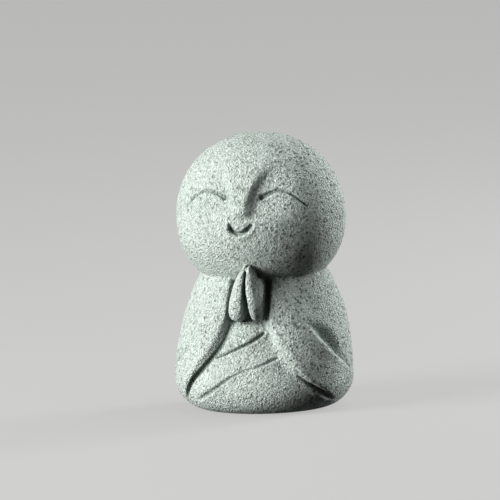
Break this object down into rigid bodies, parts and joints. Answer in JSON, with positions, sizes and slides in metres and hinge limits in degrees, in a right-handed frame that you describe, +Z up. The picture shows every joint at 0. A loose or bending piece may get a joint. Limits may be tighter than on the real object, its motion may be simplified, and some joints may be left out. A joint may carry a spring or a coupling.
{
  "type": "sandstone monk statue",
  "caption": "Small seated monk of pale green sandstone, head round and eyes closed, palms together, robe folds over crossed legs, flat underside.",
  "frame": {"origin": "centre of the flat underside", "axes": "+Z up through the head; the figure faces -Y, and its left hand side is at +X"},
  "size_m": [0.039, 0.0364, 0.06],
  "materials": {
    "sandstone": "rough, sandy and matt, pale grey-green with darker pores and bright grains"
  },
  "bodies": {
    "root": {"monk_statue": "sandstone"}
  },
  "joints": []
}
